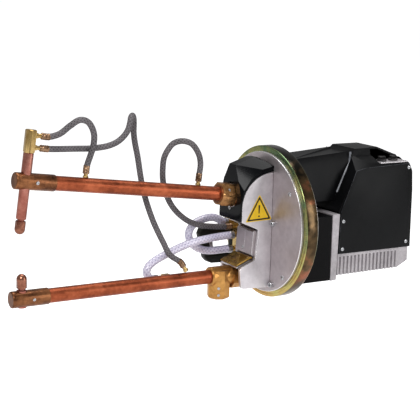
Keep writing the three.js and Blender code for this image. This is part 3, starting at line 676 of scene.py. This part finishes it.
# Plates, disc, cross plate, shoe and connector plate carry the near white painted edge highlight on their
# bevels.
for name in ("side_plate_left", "side_plate_right"):
    finished(name, "gun", "machined_alu", PLATE, 0.9, PLATE_EDGE_HIGHLIGHT)
finished("front_disc", "gun", "machined_alu", DISC, 0.7, PLATE_EDGE_HIGHLIGHT)
finished("rear_retainer", "gun", "machined_alu", DISC, 0.5)
finished("front_cross_plate", "gun", "cast_alu", DISC, 0.6, PLATE_EDGE_HIGHLIGHT)
finished("contact_shoe", "gun", "machined_alu", PLATE, 0.6, PLATE_EDGE_HIGHLIGHT)
finished("lower_arm_holder", "gun", "bronze", TEE, 0.9, angle=24)
finished("lower_conductor", "gun", "copper", COPPER, 0.8)
finished("hose_manifold", "gun", "brass", BRASS, 0.8)
finished("side_handle", "gun", "black_moulding", GRIP_BLACK, 1.2, segments=3)
finished("handle_trigger", "trigger", "cast_alu", CASTING, 0.8)
finished("transformer_block", "gun", "core_resin", RESIN, 1.6)
finished("rear_flange", "gun", "cast_alu", CASTING, 0.9)
finished("finned_housing", "gun", "cast_alu", CASTING, 0.5)
# The cover and its side panels carry the light grey painted edge highlight on their bevels.
finished("body_cover", "gun", "black_moulding", SATIN_BLACK, 1.4, BLACK_EDGE_HIGHLIGHT, segments=3)
for name in ("side_panel_left", "side_panel_right"):
    finished(name, "gun", "black_moulding", SATIN_BLACK, 0.5, BLACK_EDGE_HIGHLIGHT)
finished("hood", "upper_arm", "black_moulding", GLOSS_BLACK, 1.0, segments=2, angle=16)
finished("brass_shield", "gun", "brass", SHIELD, 0.4, BRASS, angle=10)
finished("connector_plate", "gun", "machined_alu", PLATE, 0.5, PLATE_EDGE_HIGHLIGHT)
finished("rocker", "upper_arm", "bronze", BRONZE, 0.8)
finished("lower_arm_elbow", "gun", "brass", BRASS, 0.6)
finished("air_cylinder", "gun", "machined_alu", DISC, 0.6)
finished("piston_rod", "piston_rod", "steel", STEEL, 0.5)
finished("pivot_pin", "gun", "steel", STEEL, 0.6)

# %% [markdown]
# ## The suspension ring
# The ring is a turned steel band, zinc plated and passivated yellow, so its tone slides from
# gold to green and brown. On the outer rim the tones run from near black to copper brown,
# darker towards the top and lighter towards the bottom: partly the browned plating and partly
# painted reflection. It is one lathe profile carried round 240 steps, so its long
# highlight stays smooth.

# %% Ring
RIM_FIRST, RIM_LAST = 7, 9
ring_profile = [(-14, 150.8), (-14, 157.2), (-13.5, 157.8), (-13.5, 159.2), (-14, 159.8),
                (-14, 164.6), (-13.6, 165.6), (-12.6, 166.3), (-11.8, 166.5), (11.8, 166.5),
                (12.6, 166.3), (13.6, 165.6), (14, 164.6), (14, 150.8), (13.2, 150),
                (-13.2, 150), (-14, 150.8)]


def hoop(name, profile, sides):
    """A closed lathe band about X: r and x go round a closed profile, and each of its points
    goes round the axis. Both directions join up, so there are no ends to close."""
    p = np.array(profile[:-1], float) / 1000
    a = np.linspace(0, ROUND, sides, endpoint=False)[:, None]
    points = np.stack([p[:, 0] + 0 * a, p[:, 1] * np.cos(a), p[:, 1] * np.sin(a)], -1)
    points = np.concatenate([points, points[:1]])
    rows, cols = sides, len(p)
    index = np.arange(rows * cols).reshape(rows, cols)
    far = np.roll(index, -1, 0)
    quads = np.stack([index, far, np.roll(far, -1, 1), np.roll(index, -1, 1)], -1).reshape(-1, 4)
    mesh = bpy.data.meshes.new(name)
    mesh.from_pydata(points[:-1].reshape(-1, 3).tolist(), [], quads.tolist())
    mesh.polygons.foreach_set("use_smooth", np.ones(len(mesh.polygons), bool))
    mesh.set_sharp_from_angle(angle=math.radians(32))
    obj = bpy.data.objects.new(name, mesh)
    bpy.context.scene.collection.objects.link(obj)
    return obj


def outward(obj):
    """Turns a closed mesh's faces outwards if the volume they enclose comes out negative."""
    shape = bmesh.new()
    shape.from_mesh(obj.data)
    if shape.calc_volume(signed=True) < 0:
        bmesh.ops.reverse_faces(shape, faces=shape.faces)
        shape.to_mesh(obj.data)
    shape.free()
    return obj


ring = outward(hoop("ring_band", ring_profile, 240))
finish_with(ring, "ring", "zinc_steel", ZINC, "suspension_ring")
ring.data.materials.append(ZINC_RIM)
around = np.arange(len(ring.data.polygons)) % (len(ring_profile) - 1)
on_rim = (around >= RIM_FIRST) & (around <= RIM_LAST)
ring.data.polygons.foreach_set("material_index", on_rim.astype(np.int32))
print("ring faces", len(ring.data.polygons))

# %% [markdown]
# ## Arms, holders and electrodes
# Each arm is a copper bar. A bronze block on its end clamps a copper electrode, whose cap is a
# small part with two spanner flats, made to be changed when it wears. All are lathe shapes.

# %% Turned parts along the two arms
def placed(name, profile, origin_mm, axis, body, slot, material, *nodes, **shape):
    """turned() with its origin in millimetres, its faces outwards, riding on its body."""
    obj = outward(turned(name, profile, np.array(origin_mm, float) / 1000, axis, **shape))
    return finish_with(obj, body, slot, material, *nodes)


ARM_BACK = arm_way(1, 0, 0)
ARM_UP = arm_way(0, 0, 1)
placed("upper_arm_bar", [(-497, 14.2), (-496.2, 15), (-41.8, 15), (-41, 14.2)], on_arm(0, 0, ARM_Z),
       ARM_BACK, "upper_arm", "copper", COPPER, "upper_arm_tube", sides=64)
placed("lower_arm_bar", [(-541, 14.2), (-540.2, 15), (-113.2, 15), (-112.4, 14.2)], (0, 0, LOW_Z),
       (1, 0, 0), "gun", "copper", COPPER, "lower_arm_tube", sides=64)
HOLDER_LIP = [(0, 12.5), (0, 15.2), (0.6, 16.3), (2.0, 17), (5.5, 17), (6.0, 16.6), (6.8, 16.6),
              (7.3, 17)]


def holder_profile(start, end):
    """An end block: a chamfered face, a fine groove behind it, then straight to a rounded end."""
    return ([(start + t, r) for t, r in HOLDER_LIP]
            + [(end - 1.6, 17), (end - 0.5, 16.6), (end, 15.6)])


placed("upper_end_block", holder_profile(-562.8, -477.1), on_arm(0, 0, ARM_Z), ARM_BACK,
       "upper_arm", "bronze", HOLDER, "upper_end_holder", sides=64)
placed("lower_end_block", holder_profile(-606.5, -526.6), (0, 0, LOW_Z), (1, 0, 0), "gun",
       "bronze", HOLDER, "lower_end_holder", sides=64)
placed("electrode_bar", [(-62, 6.2), (-62, 7), (-60.5, 7), (-59, 10), (-58, 10.5), (71.6, 10.5),
                         (72.4, 9.8)], on_arm(ELECTRODE_X, 0, 0), ARM_UP, "upper_arm", "copper",
       POLISHED, "electrode_shaft", sides=64)
placed("lower_electrode_bar", [(-129, 8.7), (-128.2, 9.9), (-127, 10.5), (-93.5, 10.5), (-92, 7),
                               (-89.8, 7), (-89.8, 6.4)], (LOW_ELECTRODE_X, 0, 0), (0, 0, 1), "gun",
       "copper", POLISHED, "lower_electrode", sides=64)


# %% [markdown]
# ## Electrode caps
# A cap is the copper tip that touches the sheet. It wears, so it pushes on and twists off with
# a spanner, which is what its two flats are for. It is turned like the rest, and the flats are
# a limit on the radius, so that the dome runs smoothly into them.

# %% Electrode caps
def cap_profile(top, length, sign):
    """A cap: a short collar, straight walls, then a quarter ellipse to a small flat tip. The
    radius on the dome is 10.6 * cos(q) while the length runs with sin(q)."""
    q = np.radians(np.linspace(0, 74, 12))
    straight = [(0, 9.0), (0.9, 10.4), (2.0, 10.6), (2.6, 10.6)]
    middle = [(length * f, 10.6) for f in (0.30, 0.45, 0.60)]
    dome = [(length * (0.62 + 0.38 * math.sin(a) / math.sin(q[-1])), 10.6 * math.cos(a))
            for a in q[1:]]
    return [(top + sign * t, r) for t, r in straight + middle + dome]


def cap_flats(count):
    """How far apart the two flats are at each profile station: only the middle is cut."""
    across = np.full(count, 60.0)
    across[3:6] = 19.2
    return across


upper_cap = cap_profile(-62.3, 27.1, -1)
placed("upper_cap", upper_cap[::-1], on_arm(ELECTRODE_X, 0, 0), ARM_UP, "upper_arm", "copper", CAP,
       "upper_electrode_cap", sides=64, flats=2, across=cap_flats(len(upper_cap))[::-1], twist=0.0)
lower_cap = cap_profile(-89.5, 29.1, 1)
placed("lower_cap", lower_cap, (LOW_ELECTRODE_X, 0, 0), (0, 0, 1), "gun", "copper", CAP,
       "lower_electrode_cap", sides=64, flats=2, across=cap_flats(len(lower_cap)), twist=0.0)
print("cap stations", len(upper_cap), len(lower_cap))

# %% [markdown]
# ## Electrode head and hose fittings
# The brass head brings cooling water into the electrode. It is hexagonal bar with a lathe's
# chamfer at each end, and every hose fitting is the same idea made small.

# %% Electrode head and hose fittings
def hex_bar(start, end, across, chamfer=1.0):
    """Profile of a hexagonal bar: the round corners of a lathe cut stay at both ends."""
    corner = across / math.sqrt(3)
    return [(start, across / 2 - 0.3), (start + chamfer, corner + 0.1),
            (end - chamfer, corner + 0.1), (end, across / 2 - 0.3)]


placed("electrode_top", hex_bar(72.7, 118.2, 21.13, 1.4), on_arm(ELECTRODE_X, 0, 0), ARM_UP,
       "upper_arm", "brass", BRASS, "electrode_head", sides=72, flats=6, across=21.13,
       twist=HEAD_TURN, sharp=28)


def hose_fitting(name, start, end, body, material, *nodes):
    """A hexagon, a shank and a shoulder on one axis, from start to end in millimetres."""
    start, end = np.array(start, float), np.array(end, float)
    reach = float(np.linalg.norm(end - start))
    hexagon = hex_bar(0, reach * 0.42, 10.4, 0.7)
    placed(name + "_hexagon", hexagon, start, end - start, body, "brass", material, *nodes,
           sides=48, flats=6, across=10.4, sharp=28)
    placed(name + "_shank", [(reach * 0.40, 3.9), (reach * 0.40, 4.6), (reach * 0.55, 4.6),
                             (reach * 0.6, 4.0), (reach * 0.75, 4.0), (reach * 0.8, 4.6),
                             (reach, 4.6), (reach, 3.9)], start, end - start, body, "brass", BRASS)


for i, z in enumerate((107.2, 83.4)):
    hose_fitting(f"head_union_{i + 1}", off_head(10.87, z), off_head(20.87, z), "upper_arm", BRASS,
                 f"head_fitting_{i + 1}")
for i, x in enumerate((-410.5, -146.9)):
    hose_fitting(f"arm_union_{i + 1}", on_arm(x, 0, 31.4), on_arm(x, 0, 39.1), "upper_arm",
                 BRASS, f"arm_fitting_{i + 1}")
hose_fitting("lower_union", (-207, 0, -92.7), (-213, 2, -83), "gun", BRASS, "lower_arm_fitting")


# %% [markdown]
# ## Ferrules and sleeves
# A braided hose is held by a brass ferrule pressed on in rings, and a clear one by a short
# steel sleeve. Both are tubes along the first stretch of their own hose, so they fit its bend.

# %% Crimped ferrules
def ferrule(name, path, radius, reach, body, material, slot, rings_at=(0.25, 0.5, 0.75)):
    """A pressed sleeve over a hose end: its radius is the hose's plus a little, less a shallow
    groove exp(-(s/w)^2) at each crimp, with rounded lips."""
    count = max(int(reach / 0.0015), 6)
    line = path[:count + 1]
    s = np.linspace(0, 1, len(line))
    wall = radius + 0.0009 - 0.0007 * sum(np.exp(-((s - c) / 0.055) ** 2) for c in rings_at)
    wall[0] -= 0.0006
    wall[-1] -= 0.0004
    obj = tube_along(name, line, 1.0, 40, lambda far, around: (wall[:, None] - 1.0) + 0 * around)
    return finish_with(outward(obj), body, slot, material)


FERRULES = [("ferrule_head_top", "hose_arm_loop", 1, "upper_arm"),
            ("ferrule_arm_front", "hose_arm_loop", -1, "upper_arm"),
            ("ferrule_head_low", "hose_front_return", 1, "upper_arm"),
            ("ferrule_lower_arm", "hose_front_return", -1, "gun"),
            ("ferrule_arm_rear", "hose_rear_return", 1, "upper_arm"),
            ("ferrule_block_braid", "hose_rear_return", -1, "gun")]
for name, hose, way, body in FERRULES:
    ferrule(name, paths[hose][::way], BRAID_RADIUS, 0.017, body, FERRULE, "brass")
SLEEVES = [("sleeve_loop_top", "hose_clear_loop", 1), ("sleeve_loop_low", "hose_clear_loop", -1),
           ("sleeve_supply_block", "hose_clear_supply", 1),
           ("sleeve_supply_elbow", "hose_clear_supply", -1)]
for name, hose, way in SLEEVES:
    ferrule(name, paths[hose][::way], CLEAR_RADIUS, 0.011, "gun", STEEL, "steel", (0.5,))
print("ferrules", len(FERRULES), "sleeves", len(SLEEVES))

# %% [markdown]
# ## The arm nut
# A large bronze nut clamps the upper arm in the rocker. It is six-sided with turned chamfers,
# and a thin collar fills the step between it and the arm.

# %% Arm nut
nut = [(-94.5, 22.4), (-94.5, 23.4), (-91.2, 27.2), (-62.4, 27.2), (-59.5, 25.0), (-59.5, 22.4)]
placed("arm_nut_body", nut, on_arm(0, 0, ARM_Z), ARM_BACK, "upper_arm", "bronze", BRONZE,
       "arm_nut", sides=96, flats=6, across=46.8, twist=0.0, sharp=28)
placed("arm_nut_collar", [(-96.0, 15.3), (-96.0, 19.4), (-95.2, 20.2), (-94.0, 20.2),
                          (-94.0, 15.3)], on_arm(0, 0, ARM_Z), ARM_BACK, "upper_arm", "bronze",
       HOLDER, sides=64)

# %% [markdown]
# ## Screws and small hardware
# Screws are where an eye looks to tell a real machine from a model of one. Two kinds are
# enough: a domed head with a square recess, and a cap head with a hexagon socket. Each is one
# lathe profile that dips back down in its middle, so the recess is real depth.

# %% Screws
def socket_screw(name, point, way, radius, height, body, material=STEEL):
    """A cap screw: up the side, over the rounded rim, down a hexagonal socket to its floor."""
    hole = radius * 0.52
    profile = [(0, radius * 0.98), (height * 0.12, radius), (height * 0.86, radius),
               (height, radius * 0.88), (height, hole * 1.15), (height * 0.93, hole),
               (height * 0.45, hole)]
    across = np.array([60, 60, 60, 60, 60, hole * 1.75, hole * 1.75], float)
    return placed(name, profile, point, way, body, "steel", material, sides=36, flats=6,
                  across=across)


def domed_screw(name, point, way, radius, height, body, material=STEEL):
    """A domed head: the radius is r*cos(q) as the height goes with sin(q), and a small square
    recess goes down into the top."""
    q = np.radians([0, 18, 36, 54, 68])
    hole = radius * 0.34
    profile = [(0, radius)] + [(height * (0.25 + 0.75 * math.sin(a)), radius * math.cos(a))
                               for a in q] + [(height * 0.97, hole), (height * 0.45, hole * 0.8)]
    across = np.array([60] * 6 + [hole * 1.5, hole * 1.3], float)
    return placed(name, profile, point, way, body, "steel", material, sides=32, flats=4,
                  across=across)


LEFT, FORWARD, UPWARD = (0, -1, 0), (-1, 0, 0), (0, 0, 1)
for i, (y, z) in enumerate([(-105, 77), (-89, -107), (105, 77), (89, -107)]):
    domed_screw(f"disc_screw_{i + 1}", (-20.0, y, z), FORWARD, 5.2, 2.8, "gun")
for i, (y, z) in enumerate([(-50, 4), (-50, -131), (50, -131)]):
    socket_screw(f"nose_screw_{i + 1}", (-20.0, y, z), FORWARD, 6.2, 7.5, "gun")
for side, y in (("left", -87.0), ("right", 87.0)):
    for i, (x, z) in enumerate([(314, 113), (316, -57), (138, 3), (138, -59)]):
        domed_screw(f"panel_screw_{side}_{i + 1}", (x, y, z), (0, math.copysign(1, y), 0),
                    4.4, 2.2, "gun", STEEL)
domed_screw("cross_plate_screw", (-64.1, 4, -54), (-0.995, 0, 0.08), 3.4, 1.8, "gun")
socket_screw("shoe_bolt", (-86, 4, -90.9), (-0.35, 0, -0.94), 5.2, 4.4, "gun")
TEE_FACE = (-0.383, -0.924, 0)
socket_screw("tee_screw_upper", (-137.6, -20.2, -134), TEE_FACE, 3.0, 1.2, "gun")
socket_screw("tee_screw_lower", (-137.6, -20.2, -149), TEE_FACE, 3.0, 1.2, "gun")
socket_screw("upper_holder_screw", on_arm(-520, -16.9, ARM_Z), LEFT, 3.4, 1.4, "upper_arm")
socket_screw("lower_holder_screw", (-563, -16.9, LOW_Z), LEFT, 3.0, 1.2, "gun")
socket_screw("nut_set_screw", on_arm(-80, -20.9, 28), arm_way(0, -0.866, 0.5), 2.8, 1.4,
             "upper_arm")
socket_screw("hood_bolt", (-101.2, 0.5, 37.0), FORWARD, 4.2, 2.6, "upper_arm")

# %% [markdown]
# ## Warning triangle
# A plain yellow triangle with a black border sits on the near side plate. It is three thin
# stacked plates with rounded corners, and a plain bar and dot for its sign.

# %% Triangle
def rounded_plate(name, corners, round_by, y, thick, material, slot):
    """A flat plate in XZ: each corner is an arc of round_by, then the outline goes back by
    thick along -Y. Corners are (x, z) in millimetres, listed in order."""
    c = np.array(corners, float)
    before, after = np.roll(c, 1, 0), np.roll(c, -1, 0)
    to_before = (before - c) / np.linalg.norm(before - c, axis=1)[:, None]
    to_after = (after - c) / np.linalg.norm(after - c, axis=1)[:, None]
    t = np.linspace(0, 1, 9)[None, :, None]
    start, end = (c + to_before * round_by)[:, None], (c + to_after * round_by)[:, None]
    arc = (1 - t) ** 2 * start + 2 * t * (1 - t) * c[:, None] + t ** 2 * end
    outline = arc.reshape(-1, 2) / 1000
    layers = np.stack([np.column_stack([outline[:, 0], np.full(len(outline), yy / 1000),
                                        outline[:, 1]]) for yy in (y, y - thick)])
    obj = outward(piece_from_grid(name, layers, sharp=30))
    return finish_with(obj, "gun", slot, material)


LABEL = [(-54, 69), (-88, 10.2), (-20.8, 12.2)]


def shrunk(corners, share):
    """The same corners drawn in towards their middle until share of the size is left."""
    c = np.array(corners, float)
    return (c.mean(0) + (c - c.mean(0)) * share).tolist()


backing = rounded_plate("label_backing", LABEL, 4.5, -41.1, 0.4, YELLOW, "label")
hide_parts("hot_surface_label")
rounded_plate("label_border", shrunk(LABEL, 0.90), 3.6, -41.4, 0.3, INK, "label")
rounded_plate("label_field", shrunk(LABEL, 0.72), 2.6, -41.6, 0.3, YELLOW, "label")
rounded_plate("label_bar", [(-56.6, 46), (-52.2, 46), (-53.4, 27.5), (-55.6, 27.5)], 0.8, -41.8,
              0.3, INK, "label")
rounded_plate("label_dot", [(-56.4, 23.6), (-52.6, 23.6), (-52.6, 19.8), (-56.4, 19.8)], 1.7, -41.8,
              0.3, INK, "label")

# %% [markdown]
# ## Folds on the cover and the cross plate
# Where the cover's neck meets its shoulder there is a rounded fold, and the cross plate has a
# fine seam down its middle. Each is a narrow strip swept along its line, because a painted line
# would not catch light from other sides. The fold strip is also painted light grey on the black
# cover and the seam strip near white: both are a painted highlight along their line.

# %% Strips on the cover
def strip(name, line, width, depth, way, material, slot="black_moulding", body="gun"):
    """A narrow raised strip: the line of points (millimetres) is widened square to itself and
    to way by width/2 each side, and stands depth out along way."""
    p = np.array(line, float) / 1000
    w = np.array(way, float) / np.linalg.norm(way)
    along = np.gradient(p, axis=0)
    along /= np.linalg.norm(along, axis=1)[:, None]
    side = np.cross(along, w) * width / 2000
    rise = w * depth / 1000
    ring_points = np.stack([p - side, p - side * 0.8 + rise, p + side * 0.8 + rise, p + side,
                            p + side - rise, p - side - rise], 1)
    return finish_with(outward(piece_from_grid(name, ring_points)), body, slot, material)


def leg(points, step=4.0):
    """The same broken line with a point every few millimetres."""
    p = np.array(points, float)
    far = np.concatenate([[0], np.cumsum(np.linalg.norm(np.diff(p, axis=0), axis=1))])
    s = np.linspace(0, far[-1], max(int(far[-1] / step), 2) + 1)
    return np.stack([np.interp(s, far, p[:, k]) for k in range(3)], 1)


# Each side of the cover gets a fold strip painted light grey: a painted highlight along the fold.
for side in (-1, 1):
    tag = "left" if side < 0 else "right"
    fold = [(180.0, 44.8 * side, 149), (176.4, 47.3 * side, 129), (166.5, 48.6 * side, 109),
            (144.6, 49.0 * side, 62)]
    strip(f"cover_fold_highlight_{tag}", leg(fold, 2.5), 4.6, 1.2, (-0.75, side * 0.6, 0.2), CREASE_HIGHLIGHT)
# The seam strip is painted near white: a painted highlight along the seam.
seam = [(-61.35, -1, -15), (-64.75, -1, -62)]
strip("cross_plate_seam", leg(seam), 0.8, 0.15, (-0.997, 0, 0.07), PLATE_EDGE_HIGHLIGHT, "machined_alu")
print("folds and seam done")

# %% [markdown]
# ## Supply inlets
# Water comes in through two blackened couplings in the recess on top. Each is one lathe
# profile: a collar, a fine thread as a zigzag, and a bore that turns back down inside.

# %% Supply inlets
for i, x in enumerate((259, 291)):
    neck = [(126.3, 10.2), (127.0, 10.9), (130.2, 10.9), (131.0, 8.4)]
    thread = [(131.2 + 0.35 * k, 8.5 - 0.55 * (k % 2)) for k in range(15)]
    bore = [(136.6, 8.2), (137.0, 7.6), (137.0, 5.4), (132.5, 5.2)]
    placed(f"inlet_coupling_{i + 1}", neck + thread + bore, (x, -57, 0), UPWARD, "gun", "steel",
           DARK_STEEL, f"supply_inlet_{i + 1}", sides=48, sharp=26)
for i, (x, y) in enumerate([(246, -73), (312, -73), (246, -43), (312, -43)]):
    domed_screw(f"inlet_plate_screw_{i + 1}", (x, y, 126.0), UPWARD, 2.6, 1.4, "gun")
print("inlets done")
